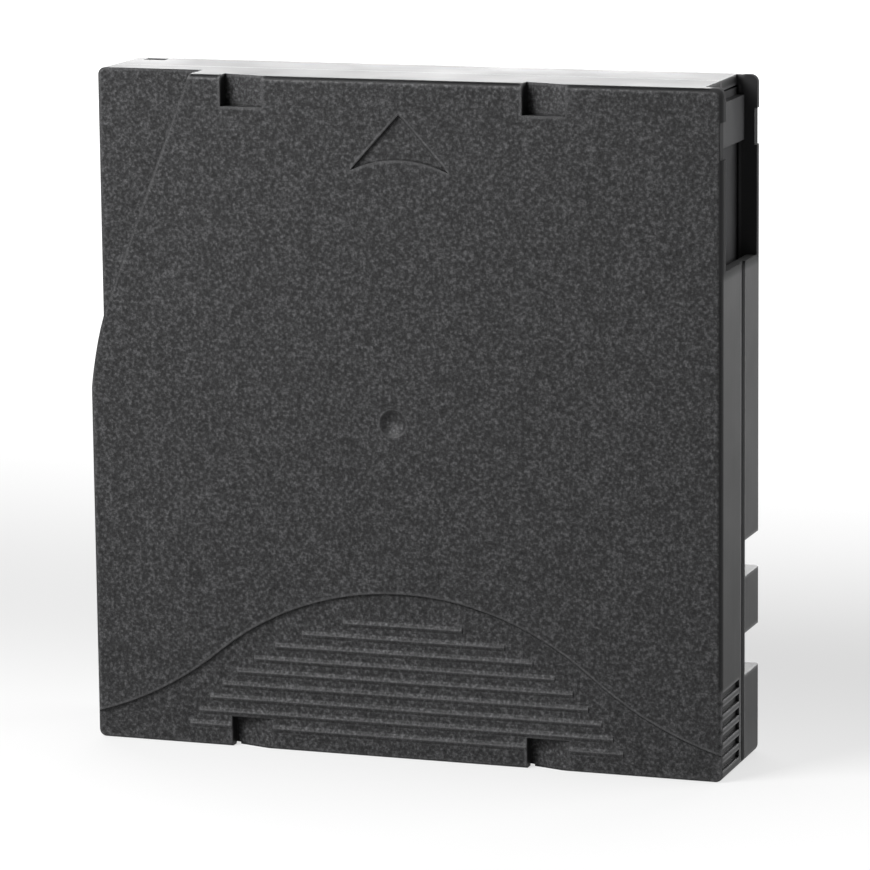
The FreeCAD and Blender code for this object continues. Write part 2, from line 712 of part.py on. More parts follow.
def make_upper_case():
    """The half with the arrow on its face."""
    body = new_piece("upper_case")
    shell_half(body, "0", "upper_height", "0", CEILING, "upper_height")
    sketch = new_sketch(body, "guide_lining", offset=GUIDE_FLOOR + " - guide_wall")
    guide_region(sketch, "guide_wall", "guide_front - case_width / 2 + guide_spread",
                 "-" + INNER, "case_depth - side_wall / 2", "(side_wall - case_width) / 2")
    pad(body, sketch, "%s - (%s - guide_wall)" % (CEILING, GUIDE_FLOOR))
    posts(body, "bosses", screw_places().values(), "boss_radius", "0", CEILING)
    sketch = new_sketch(body, "guide", offset=GUIDE_FLOOR)
    guide_region(sketch, "0", "guide_front - case_width / 2", "-" + RIGHT, PAST_FRONT, PAST_LEFT)
    pocket(body, sketch, "guide_drop + overshoot")
    posts(body, "pilots", screw_places().values(), "shank_radius + thread_gap", "0",
          "screw_reach + run_gap", True)
    reel_ribs(body, (RIB_REAR_LEFT, RIB_REAR_RIGHT), "run_gap", CEILING)
    block(body, "cross_long", ("reel_across - cross_half", "reel_back - cross_thick / 2",
          BRAKE_TOP + " + lift + touch_gap + cross_gap"),
          ("reel_across + cross_half", "reel_back + cross_thick / 2", CEILING))
    block(body, "cross_short", ("reel_across - cross_thick / 2", "reel_back - cross_half",
          BRAKE_TOP + " + lift + touch_gap + cross_gap"),
          ("reel_across + cross_thick / 2", "reel_back + cross_half", CEILING))
    ring(body, "spring_seat", "brake_coil + brake_wire + run_gap * 2",
         "brake_coil + brake_wire + run_gap * 2 + seat_rib", CEILING + " - seat_rib", CEILING)
    pin_cradle(body, "cradle", CEILING + " - cradle_rise", CEILING)
    block(body, "spring_stop", (INNER + " - stop_wide", "stop_back", "part_gap"),
          (INNER + " + side_wall / 2", "stop_back + stop_thick", CEILING))
    block(body, "spring_stop_slot", (ROD_ACROSS + " - rod_radius - run_gap / 2", "stop_back", "0"),
          (ROD_ACROSS + " + rod_radius + run_gap / 2", "stop_back + stop_thick", "rod_radius + run_gap"),
          True)
    block(body, "slider_cap", ("slider_left - slider_lap - case_width / 2", "side_wall + run_gap",
          FLOOR + " + run_gap + slider_high + run_gap"),
          ("slider_left + thumb_wide + slider_travel + slider_lap - case_width / 2",
           "side_wall + slider_thick", CEILING))
    door_way(body, "0", CEILING, CEILING, PAST_TOP, CEILING, CEILING + " + track_deep")
    label_area(body, "0", "label_half")
    side_grooves(body)
    grip(body)
    upper_details(body)


def gripper_notches(body):
    """Two notches in each side wall, open below, with their linings inside."""
    top = "(bite_high - lower_height)"
    linings = []
    notches = []
    for back, long in (("bite_one", "bite_one_long"), ("bite_two", "bite_two_long")):
        front = "%s + %s" % (back, long)
        linings += both_sides("(case_width - side_wall) / 2", "case_width / 2 - bite_deep - bite_wall",
                              back + " - bite_wall", front + " + bite_wall")
        notches += both_sides(PAST_RIGHT, "case_width / 2 - bite_deep", back, front)
    blocks(body, "bite_linings", linings, FLOOR, top + " + bite_cap")
    blocks(body, "bites", notches, PAST_BOTTOM, top, True)


def locating_holes(body):
    """Two blind locating holes in the underside, one round and one long."""
    cap = "datum_deep + datum_cap - lower_height"
    post(body, "datum_boss", "datum_left", "datum_front", "datum_radius + datum_wall", FLOOR, cap)
    post(body, "datum", "datum_left", "datum_front", "datum_radius", "-lower_height",
         "datum_deep - lower_height", True)
    for name, radius, low, high, cut in (
            ("slot_boss", "(datum_radius + datum_wall)", FLOOR, cap, False),
            ("slot", "datum_radius", "-lower_height", "datum_deep - lower_height", True)):
        sketch = new_sketch(body, "datum_" + name, offset=low)
        left = "datum_right - datum_slot / 2"
        right = "datum_right + datum_slot / 2"
        rear = "datum_rear - " + radius
        front = "datum_rear + " + radius
        outline(sketch, [
            (right, rear), ("%s + %s" % (right, radius), "datum_rear", 1, radius),
            (right, front, 1, radius), (left, front),
            ("%s - %s" % (left, radius), "datum_rear", 1, radius), (left, rear, 1, radius)])
        between(body, sketch, low, high, cut)


def make_lower_case():
    """The half with the gear opening, the gripper notches and the locating holes."""
    body = new_piece("lower_case")
    shell_half(body, "-lower_height", "0", FLOOR, "0", "-lower_height")
    posts(body, "bosses", screw_places().values(), "boss_radius", FLOOR, "0")
    locating_holes(body)
    gripper_notches(body)
    ring(body, "rim", "collar_outer + gear_gap", "collar_outer + gear_gap + rim_wide",
         FLOOR, "-%s - run_gap" % FLANGE_TOP)
    post(body, "gear_opening", "reel_across", "reel_back", "collar_outer + gear_gap",
         PAST_BOTTOM, FLOOR + " + cut_skin", True)
    reel_ribs(body, (RIB_REAR_LEFT, RIB_REAR_RIGHT, RIB_FRONT_LEFT), FLOOR, "-run_gap")
    posts(body, "shanks", screw_places().values(), "shank_radius + shank_gap", "-lower_height", "0", True)
    posts(body, "heads", screw_places().values(), "head_radius + shank_gap", "-lower_height",
          HEAD_TOP, True)
    pin_cradle(body, "cradle", FLOOR, FLOOR + " + cradle_rise")
    block(body, "spring_stop", (INNER + " - stop_wide", "stop_back", FLOOR),
          (INNER + " + side_wall / 2", "stop_back + stop_thick", "0"))
    block(body, "spring_stop_slot",
          (ROD_ACROSS + " - rod_radius - run_gap / 2", "stop_back", "-rod_radius - run_gap"),
          (ROD_ACROSS + " + rod_radius + run_gap / 2", "stop_back + stop_thick", "0"), True)
    slider_ways(body)
    for side, place in (("left", "board_left + gusset_thick"),
                        ("right", "board_left + board_long - 2 * gusset_thick")):
        sketch = new_sketch(body, "gusset_" + side, "YZ_Plane", place)
        outline(sketch, [
            ("side_wall / 2", FLOOR + " - floor_wall / 2"),
            ("side_wall + gusset_leg", FLOOR + " - floor_wall / 2"),
            ("side_wall + gusset_leg", FLOOR), ("side_wall", FLOOR + " + gusset_leg"),
            ("side_wall / 2", FLOOR + " + gusset_leg")])
        pad(body, sketch, "gusset_thick")
    leaf_keeper = "pin_across + pin_flange + leaf_gap + leaf_thick - leaf_long"
    block(body, "leaf_keeper", (leaf_keeper + " - run_gap - rib_thick", FRONT + " - leaf_keep", FLOOR),
          (leaf_keeper + " - run_gap", FRONT + " + side_wall / 2", "-run_gap"))
    door_way(body, FLOOR, "0", PAST_BOTTOM, FLOOR, FLOOR + " - track_deep", FLOOR)
    label_area(body, "-label_half", "0")
    dash = "dash_left - case_width / 2"
    block(body, "dash", (dash, "case_depth - dash_sink", "dash_low - lower_height"),
          (dash + " + dash_wide", PAST_FRONT, "dash_low + dash_high - lower_height"), True)
    blocks(body, "strips", both_sides(PAST_RIGHT, "case_width / 2 - strip_sink", PAST_REAR, PAST_FRONT),
           "-strip_height", "0", True)


def slider_ways(body):
    """The window, keeper wall and feeler slot of the write-protect switch."""
    left = "slider_left - case_width / 2"
    right = "slider_left + thumb_wide + slider_travel - case_width / 2"
    block(body, "window", (left + " - run_gap", PAST_REAR, "thumb_low - run_gap - lower_height"),
          (right + " + run_gap", "side_wall + cut_skin",
           "thumb_low + thumb_high + run_gap - lower_height"), True)
    keeper = "side_wall + slider_thick + 2 * run_gap"
    block(body, "keeper", (left + " - slider_lap", keeper, FLOOR),
          (right + " + slider_lap", keeper + " + keeper_thick", "%s + slider_high + run_gap" % FLOOR))
    block(body, "feeler", (right + " - thumb_wide / 2", "side_wall + run_gap", PAST_BOTTOM),
          (right, "side_wall + slider_thick", FLOOR + " + cut_skin"), True)


def make_screws():
    """Four case screws with a cross slot in the head."""
    for corner, (x, y) in screw_places().items():
        body = new_piece("case_screw_" + corner, x, y)
        turned(body, "profile", [
            ("0", HEAD_LOW), ("head_radius", HEAD_LOW), ("head_radius", HEAD_TOP),
            ("shank_radius", HEAD_TOP), ("shank_radius", "screw_reach - shank_radius / 2"),
            ("shank_radius / 2", "screw_reach"), ("0", "screw_reach")])
        arm = "drive_slot_long / 2"
        block(body, "slot_across", ("-" + arm, "-drive_slot / 2", HEAD_LOW),
              (arm, "drive_slot / 2", HEAD_LOW + " + head_high / 2"), True)
        block(body, "slot_along", ("-drive_slot / 2", "-" + arm, HEAD_LOW),
              ("drive_slot / 2", arm, HEAD_LOW + " + head_high / 2"), True)


def make_door():
    """The sliding door, with the tab that a drive pushes and the rod that carries its spring."""
    body = new_piece("door")
    low = FLOOR + " - track_deep + run_gap"
    high = CEILING + " + track_deep - run_gap"
    block(body, "plate", (DOOR_IN, DOOR_REAR, low), (DOOR_OUT, FRONT + " - run_gap", high))
    block(body, "tab", (DOOR_OUT + " - door_thick / 2", "tab_back", FLOOR + " + run_gap"),
          (DOOR_OUT + " + tab_rise", "tab_back + tab_long", CEILING + " - run_gap"))
    sketch = new_sketch(body, "rod", "XZ_Plane", "-(%s + door_lap / 2)" % DOOR_REAR)
    circle(sketch, ROD_ACROSS, "0", "rod_radius")
    pad(body, sketch, "rod_long + door_lap / 2")


def make_spring(label, coil, wire, turns, length, base, stand):
    """A compression spring along the axis that stand gives, its wire a many-sided prism."""
    spine = doc.addObject("Part::Helix", label + "_line")
    spine.setExpression("Radius", bound(coil))
    spine.setExpression("Height", bound(length))
    spine.setExpression("Pitch", bound("(%s) / %s" % (length, turns)))
    spine.SegmentLength = 1
    section = doc.addObject("Part::RegularPolygon", label + "_wire")
    section.setExpression("Polygon", bound("wire_sides"))
    section.setExpression("Circumradius", bound(wire))
    section.Placement.Rotation = FreeCAD.Rotation(FreeCAD.Vector(1, 0, 0), 90)
    section.setExpression("Placement.Base.x", bound(coil))
    made = doc.addObject("Part::Sweep", label)
    made.Sections = [section]
    doc.recompute()
    made.Spine = (spine, ["Edge%d" % (turn + 1) for turn in range(len(spine.Shape.Edges))])
    made.Solid = True
    made.Frenet = True
    made.Placement = FreeCAD.Placement(FreeCAD.Vector(), stand)
    for axis, text in zip("xyz", base):
        made.setExpression("Placement.Base." + axis, bound(text))
    PIECES.append(made)


def make_springs():
    """The door's spring lies along the side wall, the brake's spring on the reel's axis."""
    upright = FreeCAD.Rotation()
    inward = FreeCAD.Rotation(FreeCAD.Vector(1, 0, 0), 90)
    length = "(%s - stop_back - stop_thick - 2 * door_wire - touch_gap)" % DOOR_REAR
    make_spring("door_spring", "door_coil", "door_wire", "door_turns", length,
                (ROD_ACROSS, "0", "stop_back + stop_thick + door_wire + touch_gap / 2"), upright)
    length = "(%s - %s - 2 * brake_wire - touch_gap)" % (CEILING, BRAKE_TOP)
    make_spring("brake_spring", "brake_coil", "brake_wire", "brake_turns", length,
                ("reel_across", "-(%s + brake_wire + touch_gap / 2)" % BRAKE_TOP, "reel_back"), inward)


def make_leader_pin():
    """The turned pin at the tape's end, with a flange and a neck at both ends."""
    body = new_piece("leader_pin", "pin_across", "pin_back")
    low = FLOOR + " + run_gap"
    high = CEILING + " - run_gap"
    turned(body, "profile", [
        ("0", low), ("pin_flange - pin_bevel", low), ("pin_flange", low + " + pin_bevel"),
        ("pin_flange", low + " + pin_flange_thick"), ("pin_core", low + " + pin_flange_thick"),
        ("pin_core", low + " + pin_flange_thick + pin_neck"),
        ("pin_flange - pin_bevel", low + " + pin_flange_thick + pin_neck"),
        ("pin_flange - pin_bevel", "-tape_wide / 2 - run_gap / 2"),
        ("pin_core", "-tape_wide / 2 - run_gap / 2"), ("pin_core", "tape_wide / 2 + run_gap / 2"),
        ("pin_flange - pin_bevel", "tape_wide / 2 + run_gap / 2"),
        ("pin_flange - pin_bevel", high + " - pin_flange_thick - pin_neck"),
        ("pin_core", high + " - pin_flange_thick - pin_neck"), ("pin_core", high + " - pin_flange_thick"),
        ("pin_flange", high + " - pin_flange_thick"), ("pin_flange", high + " - pin_bevel"),
        ("pin_flange - pin_bevel", high), ("0", high)])


def make_tape_clip():
    """The C-shaped clip that grips the tape's end on the pin, open towards the reel."""
    body = new_piece("tape_clip", "pin_across", "pin_back")
    sketch = new_sketch(body, "section", offset="-tape_wide / 2")
    sector(sketch, "(pin_core + clip_gap)", "(pin_core + clip_gap + clip_thick)",
           "clip_open - 180", "180 - clip_open", "0", "0")
    pad(body, sketch, "tape_wide")


def make_tape_leader():
    """The stretch of tape from the wound pack to the pin."""
    body = new_piece("tape_leader")
    sketch = new_sketch(body, "section", offset="-tape_wide / 2")
    outline(sketch, [
        ("reel_across", "reel_back + pack_radius + run_gap"),
        ("pin_across - pin_core - clip_gap", "pin_back - film_thick / 2"),
        ("pin_across - pin_core - clip_gap", "pin_back + film_thick / 2"),
        ("reel_across", "reel_back + pack_radius + run_gap + film_thick")])
    pad(body, sketch, "tape_wide")


def make_pin_spring():
    """The leaf spring on the front wall, with an arm that holds each end of the pin."""
    body = new_piece("pin_spring")
    right = "(pin_across + pin_flange + leaf_gap + leaf_thick)"
    low = FLOOR + " + run_gap"
    high = CEILING + " - run_gap"
    block(body, "base", (right + " - leaf_long", FRONT + " - leaf_thick", low), (right, FRONT, high))
    for name, level in (("low", low), ("high", high + " - pin_flange_thick")):
        sketch = new_sketch(body, "arm_" + name, offset=level)
        outline(sketch, [
            (right, FRONT), (right + " - leaf_thick", FRONT),
            (right + " - leaf_thick", "pin_back - leaf_flare"),
            (right + " - leaf_thick + leaf_flare", "pin_back - leaf_reach"),
            (right + " + leaf_flare", "pin_back - leaf_reach"), (right, "pin_back - leaf_flare")])
        pad(body, sketch, "pin_flange_thick")


def make_reel_hub():
    """Hub and lower flange in one moulding, with the drive gear below and the brake teeth inside."""
    body = new_piece("reel_hub", "reel_across", "reel_back")
    below = "-" + FLANGE_TOP
    bore = "hub_radius - hub_wall"
    turned(body, "profile", [
        ("hub_eye", below), ("collar_inner", below), ("collar_inner", below + " - collar_drop"),
        ("collar_outer", below + " - collar_drop"), ("collar_outer", below),
        ("flange_radius", below), ("flange_radius", "-" + TAPE_TOP), ("hub_radius", "-" + TAPE_TOP),
        ("hub_radius", TAPE_TOP), (bore, TAPE_TOP), (bore, HUB_FLOOR_TOP), ("lock_outer", HUB_FLOOR_TOP),
        ("lock_outer", LOCK_ROOT), ("lock_inner", LOCK_ROOT), ("lock_inner", HUB_FLOOR_TOP),
        ("hub_eye", HUB_FLOOR_TOP)])
    root = below + " - collar_drop"
    face_teeth(body, "drive_tooth", "collar_inner", "collar_outer", root, root + " - drive_tooth")
    face_teeth(body, "lock_tooth", "lock_inner", "lock_outer", LOCK_ROOT, LOCK_ROOT + " + lock_tooth")
    slot = block(body, "leg_slot", ("leg_inner - run_gap", "-arm_half - run_gap", root + " - drive_tooth"),
                 ("leg_outer + run_gap", "arm_half + run_gap", HUB_FLOOR_TOP), True)
    gate = block(body, "arm_gate", ("lock_inner - run_gap", "-arm_half - 2 * run_gap", HUB_FLOOR_TOP),
                 ("lock_outer + run_gap", "arm_half + 2 * run_gap", LOCK_ROOT + " + lock_tooth"), True)
    around(body, [slot, gate], "3")


def make_reel_parts():
    """The upper flange, the steel washer under the hub and the wound tape."""
    body = new_piece("upper_flange", "reel_across", "reel_back")
    bore = "hub_radius - hub_wall - spigot_gap"
    turned(body, "profile", [
        (bore + " - spigot_thick", TAPE_TOP + " - spigot_long"), (bore, TAPE_TOP + " - spigot_long"),
        (bore, TAPE_TOP), ("flange_radius", TAPE_TOP), ("flange_radius", FLANGE_TOP),
        (bore + " - spigot_thick", FLANGE_TOP)])
    body = new_piece("reel_washer", "reel_across", "reel_back")
    turned(body, "profile", [
        ("washer_inner", "-%s - washer_thick" % FLANGE_TOP),
        ("collar_inner - run_gap", "-%s - washer_thick" % FLANGE_TOP),
        ("collar_inner - run_gap", "-" + FLANGE_TOP), ("washer_inner", "-" + FLANGE_TOP)])
    body = new_piece("tape_pack", "reel_across", "reel_back")
    turned(body, "profile", [
        ("hub_radius + wind_gap", "-tape_wide / 2"), ("pack_radius", "-tape_wide / 2"),
        ("pack_radius", "tape_wide / 2"), ("hub_radius + wind_gap", "tape_wide / 2")])


def make_release_pad():
    """The three-legged pad that a drive's gear pushes up to free the reel."""
    body = new_piece("release_pad", "reel_across", "reel_back")
    low = HUB_FLOOR_TOP + " + pad_gap"
    high = HUB_FLOOR_TOP + " + pad_gap + pad_thick"
    post(body, "centre", "0", "0", "pad_centre", low, high)
    post(body, "button", "0", "0", "button_radius", high, high + " + button_rise")
    arm = block(body, "arm", ("pad_centre / 2", "-arm_half", low), ("leg_outer", "arm_half", high))
    leg = block(body, "leg", ("leg_inner", "-arm_half", "leg_inset - lower_height"),
                ("leg_outer", "arm_half", low))
    around(body, [arm, leg], "3")


def make_brake():
    """The brake disc, toothed below, with a sleeve that slides on the cross in the ceiling."""
    body = new_piece("brake", "reel_across", "reel_back")
    turned(body, "profile", [
        ("0", "%s - lock_tooth - lock_rise + pad_gap + pad_thick + button_rise" % BRAKE_LOW),
        ("button_radius", "%s - lock_tooth - lock_rise + pad_gap + pad_thick + button_rise" % BRAKE_LOW),
        ("button_radius", BRAKE_LOW), ("brake_radius", BRAKE_LOW), ("brake_radius", BRAKE_TOP),
        ("brake_coil + brake_wire + run_gap * 2 + seat_rib", BRAKE_TOP),
        ("brake_coil + brake_wire + run_gap * 2 + seat_rib", BRAKE_TOP + " + seat_rib"),
        ("brake_coil + brake_wire + run_gap * 2", BRAKE_TOP + " + seat_rib"),
        ("brake_coil + brake_wire + run_gap * 2", BRAKE_TOP), ("sleeve_radius", BRAKE_TOP),
        ("sleeve_radius", BRAKE_TOP + " + sleeve_long"), ("0", BRAKE_TOP + " + sleeve_long")])
    half = "cross_half + cross_gap"
    thick = "cross_thick / 2 + cross_gap"
    block(body, "cross_long", ("-(%s)" % half, "-(%s)" % thick, BRAKE_TOP),
          (half, thick, BRAKE_TOP + " + sleeve_long"), True)
    block(body, "cross_short", ("-(%s)" % thick, "-(%s)" % half, BRAKE_TOP),
          (thick, half, BRAKE_TOP + " + sleeve_long"), True)
    face_teeth(body, "tooth", "lock_inner", "lock_outer", BRAKE_LOW, BRAKE_LOW + " - lock_tooth",
               "180 / tooth_count")


def make_slider():
    """The write-protect switch: a plate behind the rear wall with a thumb piece in the window."""
    body = new_piece("write_protect_slider")
    left = "slider_left - case_width / 2"
    right = left + " + thumb_wide"
    low = "thumb_low - lower_height"
    block(body, "plate", (left + " - slider_lap + run_gap", SLIDER_IN, FLOOR + " + run_gap"),
          (right + " + slider_lap", SLIDER_IN + " + slider_thick", FLOOR + " + run_gap + slider_high"))
    block(body, "thumb", (left, "thumb_inset", low), (right, SLIDER_IN + " + slider_thick / 2",
          low + " + thumb_high"))
    middle = "(slider_left + thumb_wide / 2 - case_width / 2)"
    block(body, "thumb_groove", (middle + " - thumb_groove / 2", "thumb_inset", low),
          (middle + " + thumb_groove / 2", "thumb_inset + thumb_groove / 2", low + " + thumb_high"), True)


def make_memory():
    """The memory board, lying at 45 degrees on its two gussets."""
    body = new_piece("cartridge_memory")
    sketch = new_sketch(body, "section", "YZ_Plane", "board_left")
    near = "side_wall + board_inset"
    far = "side_wall + gusset_leg - board_inset"
    low = FLOOR + " + board_inset"
    high = FLOOR + " + gusset_leg - board_inset"
    shift = " + board_thick / sqrt(2)"
    outline(sketch, [(near, high), (far, low), (far + shift, low + shift), (near + shift, high + shift)])
    pad(body, sketch, "board_long")


def check_document():
    """Stop if any object failed, any cut removed nothing or any pad added nothing."""
    for item in doc.Objects:
        if "Invalid" in item.State or "Error" in item.State:
            raise RuntimeError("%s failed: %s" % (item.Label, item.State))
    for made, is_cut in CUTS:
        before = made.BaseFeature.Shape.Volume if made.BaseFeature else 0.0
        change = made.Shape.Volume - before
        if (change > -1e-6) if is_cut else (change < 1e-6):
            raise RuntimeError("%s changed the volume by %.6f" % (made.Label, change))
    for piece in PIECES:
        if piece.Shape.isNull() or not piece.Shape.isValid() or len(piece.Shape.Solids) != 1:
            raise RuntimeError("%s is not one valid solid" % piece.Label)


def write_pieces():
    """Write each piece to its own file."""
    os.makedirs("parts", exist_ok=True)
    for piece in PIECES:
        piece.Shape.exportStep("parts/%s.step" % piece.Label)
        box = piece.Shape.BoundBox
        print("%s: %.1f mm3, x %.2f to %.2f, y %.2f to %.2f, z %.2f to %.2f" % (
            piece.Label, piece.Shape.Volume, box.XMin, box.XMax, box.YMin, box.YMax, box.ZMin, box.ZMax))


make_upper_case()
make_lower_case()
make_screws()
make_door()
make_springs()
make_leader_pin()
make_tape_clip()
make_tape_leader()
make_pin_spring()
make_reel_hub()
make_reel_parts()
make_release_pad()
make_brake()
make_slider()
make_memory()
for piece in PIECES:
    if piece.TypeId == "PartDesign::Body":
        piece.Tip.Refine = True
doc.recompute()
check_document()
write_pieces()
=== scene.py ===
# %% [markdown]
# A data tape cartridge stands on its rear wall on a pale studio floor. Its solids were drawn in
# CAD, so the first step brings them in as they are: one object for each piece, all in metres and
# in one shared frame. They could be modelled again here, but then they would no longer fit the
# mechanism inside, so this lesson is about finishes, springs and light.

# %% Bring in the solids
import math
import bpy
from mathutils import Matrix, Vector


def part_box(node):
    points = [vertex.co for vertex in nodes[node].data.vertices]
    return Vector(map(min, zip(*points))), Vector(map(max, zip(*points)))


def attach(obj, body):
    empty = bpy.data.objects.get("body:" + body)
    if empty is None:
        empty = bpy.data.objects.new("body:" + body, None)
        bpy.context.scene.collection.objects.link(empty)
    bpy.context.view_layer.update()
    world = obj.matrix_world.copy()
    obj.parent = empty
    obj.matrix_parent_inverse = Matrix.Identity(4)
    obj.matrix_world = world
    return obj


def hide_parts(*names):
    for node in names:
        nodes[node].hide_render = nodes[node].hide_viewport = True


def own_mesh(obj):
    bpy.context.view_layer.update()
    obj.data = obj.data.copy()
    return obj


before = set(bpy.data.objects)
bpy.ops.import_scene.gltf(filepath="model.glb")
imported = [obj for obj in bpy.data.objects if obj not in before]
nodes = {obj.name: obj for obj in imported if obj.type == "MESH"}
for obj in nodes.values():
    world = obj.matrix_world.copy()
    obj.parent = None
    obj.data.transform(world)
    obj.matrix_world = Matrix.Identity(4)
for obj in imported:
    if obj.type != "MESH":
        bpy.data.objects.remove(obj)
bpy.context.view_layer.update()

# %% [markdown]
# The photograph was taken with a long lens from the front right, a little above the cartridge, so
# its edges stay nearly parallel. A camera could be turned by hand until the outlines agree, or be
# built from the place it stood in, the way it looked and which way was up. The three vectors are
# surer: they make the camera's own axes, and nothing has to be nudged afterwards.

# %% Stand the camera where the photographer stood
CAMERA_PLACE = Vector((0.2398, -0.6899, 0.1865))
LOOKING = Vector((-0.3202, 0.9291, -0.1849)).normalized()
UPWARDS = Vector((-0.0504, 0.1782, 0.9827))

lens = bpy.data.cameras.new("studio_camera")
lens.sensor_width = 36.0
lens.lens = 198.8
lens.clip_start = 0.05
lens.clip_end = 20.0
camera = bpy.data.objects.new("studio_camera", lens)
bpy.context.scene.collection.objects.link(camera)
rightwards = LOOKING.cross(UPWARDS).normalized()
axes = Matrix((rightwards, rightwards.cross(LOOKING), -LOOKING)).transposed().to_4x4()
camera.matrix_world = Matrix.Translation(CAMERA_PLACE) @ axes
bpy.context.scene.camera = camera
print("camera to cartridge in mm:", round(CAMERA_PLACE.length * 1000))

# %% [markdown]
# Every finish below is a small graph of shader nodes. Blender's own calls to add, set and join
# nodes are long and would bury what a recipe says, so three helpers come first. One starts a
# finish with its main shader, one adds a node, sets its inputs and joins whatever is handed to it
# as a socket, and one joins the results to the main shader.

# %% Start a finish and add nodes to it
def start_finish(name, roughness, metallic=0.0):
    """A new finish with its node tree and its main shader."""
    finish = bpy.data.materials.new(name)
    finish.use_nodes = True
    shader = finish.node_tree.nodes["Principled BSDF"]
    shader.inputs["Roughness"].default_value = roughness
    shader.inputs["Metallic"].default_value = metallic
    return finish, finish.node_tree, shader


def add_node(tree, kind, inputs=(), **settings):
    """Add a node. Inputs pairs an input's name or number with a value or another node's output."""
    node = tree.nodes.new(kind)
    for name, value in settings.items():
        setattr(node, name, value)
    for key, value in dict(inputs).items():
        if isinstance(value, bpy.types.NodeSocket):
            tree.links.new(value, node.inputs[key])
        else:
            node.inputs[key].default_value = value
    return node


def join(tree, shader, **sockets):
    """Join sockets to the main shader's inputs, whose names are written with underscores."""
    for name, socket in sockets.items():
        tree.links.new(socket, shader.inputs[name.replace("_", " ")])


print("helpers:", [helper.__name__ for helper in (start_finish, add_node, join)])

# %% [markdown]
# The recipes use the same few steps again and again: a sum, a range carried over to another, a
# noise, a product, the agreement of two directions, a mix of two colours and small bumps. Each
# could be spelled out as a node in every recipe, but with a short name for each step a recipe
# reads like its description, and what is handed on is always the one output that matters.

# %% Short names for the usual steps
def compute(tree, operation, *values):
    """The result of a sum with values or sockets."""
    return add_node(tree, "ShaderNodeMath", enumerate(values), operation=operation).outputs[0]


def remap(tree, value, low, high, new_low=0.0, new_high=1.0):
    """Carry a value from one range over to another and hold it at the ends."""
    ends = {"From Min": low, "From Max": high, "To Min": new_low, "To Max": new_high}
    return add_node(tree, "ShaderNodeMapRange", {"Value": value, **ends}).outputs["Result"]


def noise(tree, vector, scale, detail, roughness=0.5):
    """A cloudy noise round 0.5. Scale counts its blobs in a metre."""
    inputs = {"Vector": vector, "Scale": scale, "Detail": detail, "Roughness": roughness}
    return add_node(tree, "ShaderNodeTexNoise", inputs).outputs["Fac"]


def product(tree, vector, other):
    """Each part of a colour or vector times a number or the same part of another."""
    return add_node(tree, "ShaderNodeVectorMath", {0: vector, 1: other},
                    operation="MULTIPLY").outputs["Vector"]


def alignment(tree, normal, other):
    """How well two directions agree: 1 when they are the same, 0 when square to each other."""
    return add_node(tree, "ShaderNodeVectorMath", {0: normal, 1: other},
                    operation="DOT_PRODUCT").outputs["Value"]


def blend(tree, factor, first, second):
    """Two colours, mixed: the first at factor 0, the second at factor 1."""
    return add_node(tree, "ShaderNodeMix", {"Factor": factor, 6: first, 7: second},
                    data_type="RGBA").outputs[2]


def bumps(tree, height, strength, distance, **normal):
    """The normal of a surface with small bumps. Strength runs to 1, distance is their height."""
    inputs = {"Height": height, "Strength": strength, "Distance": distance, **normal}
    return add_node(tree, "ShaderNodeBump", inputs).outputs["Normal"]


usual_steps = (compute, remap, noise, product, alignment, blend, bumps)
print("steps:", [step.__name__ for step in usual_steps])

# %% [markdown]
# Colours come from ramps: a noise goes in, and a colour between the ramp's stops comes out. A
# noise keeps mostly to the middle of its range, so a ramp of two colours only spans that. Nearly
# all colours here are greys. A pure grey looks lifeless on a screen, and the real plastics and
# steels lean to blue very slightly, so grey adds a small share of blue.

# %% Turn a noise into colours
BLUE_SHARE = 1.03
NOISE_SPAN = (0.3, 0.7)


def grey(level):
    """A grey that leans to blue."""
    return (level, level, level * BLUE_SHARE)


def ramp(tree, value, stops, interpolation="LINEAR"):
    """A colour ramp. Each stop pairs a place with a colour of three parts."""
    node = add_node(tree, "ShaderNodeValToRGB", {"Fac": value})
    node.color_ramp.interpolation = interpolation
    elements = node.color_ramp.elements
    while len(elements) < len(stops):
        elements.new(0.5)
    for element, (where, colour) in zip(elements, stops):
        element.position = where
        element.color = (*colour, 1.0)
    return node.outputs["Color"]


def two_tone(tree, value, low, high):
    """A ramp between two colours over the span of a noise."""
    return ramp(tree, value, list(zip(NOISE_SPAN, (low, high))))


print("a dark grey:", [round(part, 4) for part in grey(0.05)])

# %% [markdown]
# The floor is a sheet of white paper, wide enough that its edges stay out of the picture. In a
# real studio the sheet is bent up into a wall. A flat one does the same here, because floor and
# wall are both plain white where they meet. The paper belongs to the studio and not to the
# cartridge.

# %% Lay the paper floor
PAPER_REACH = 6.0

paper_mesh = bpy.data.meshes.new("paper_floor")
corners = ((-1, -1), (1, -1), (1, 1), (-1, 1))
paper_mesh.from_pydata([(x * PAPER_REACH, y * PAPER_REACH, 0.0) for x, y in corners], [],
                       [(0, 1, 2, 3)])
paper = bpy.data.objects.new("paper_floor", paper_mesh)
bpy.context.scene.collection.objects.link(paper)
print("paper floor:", PAPER_REACH * 2, "m wide")
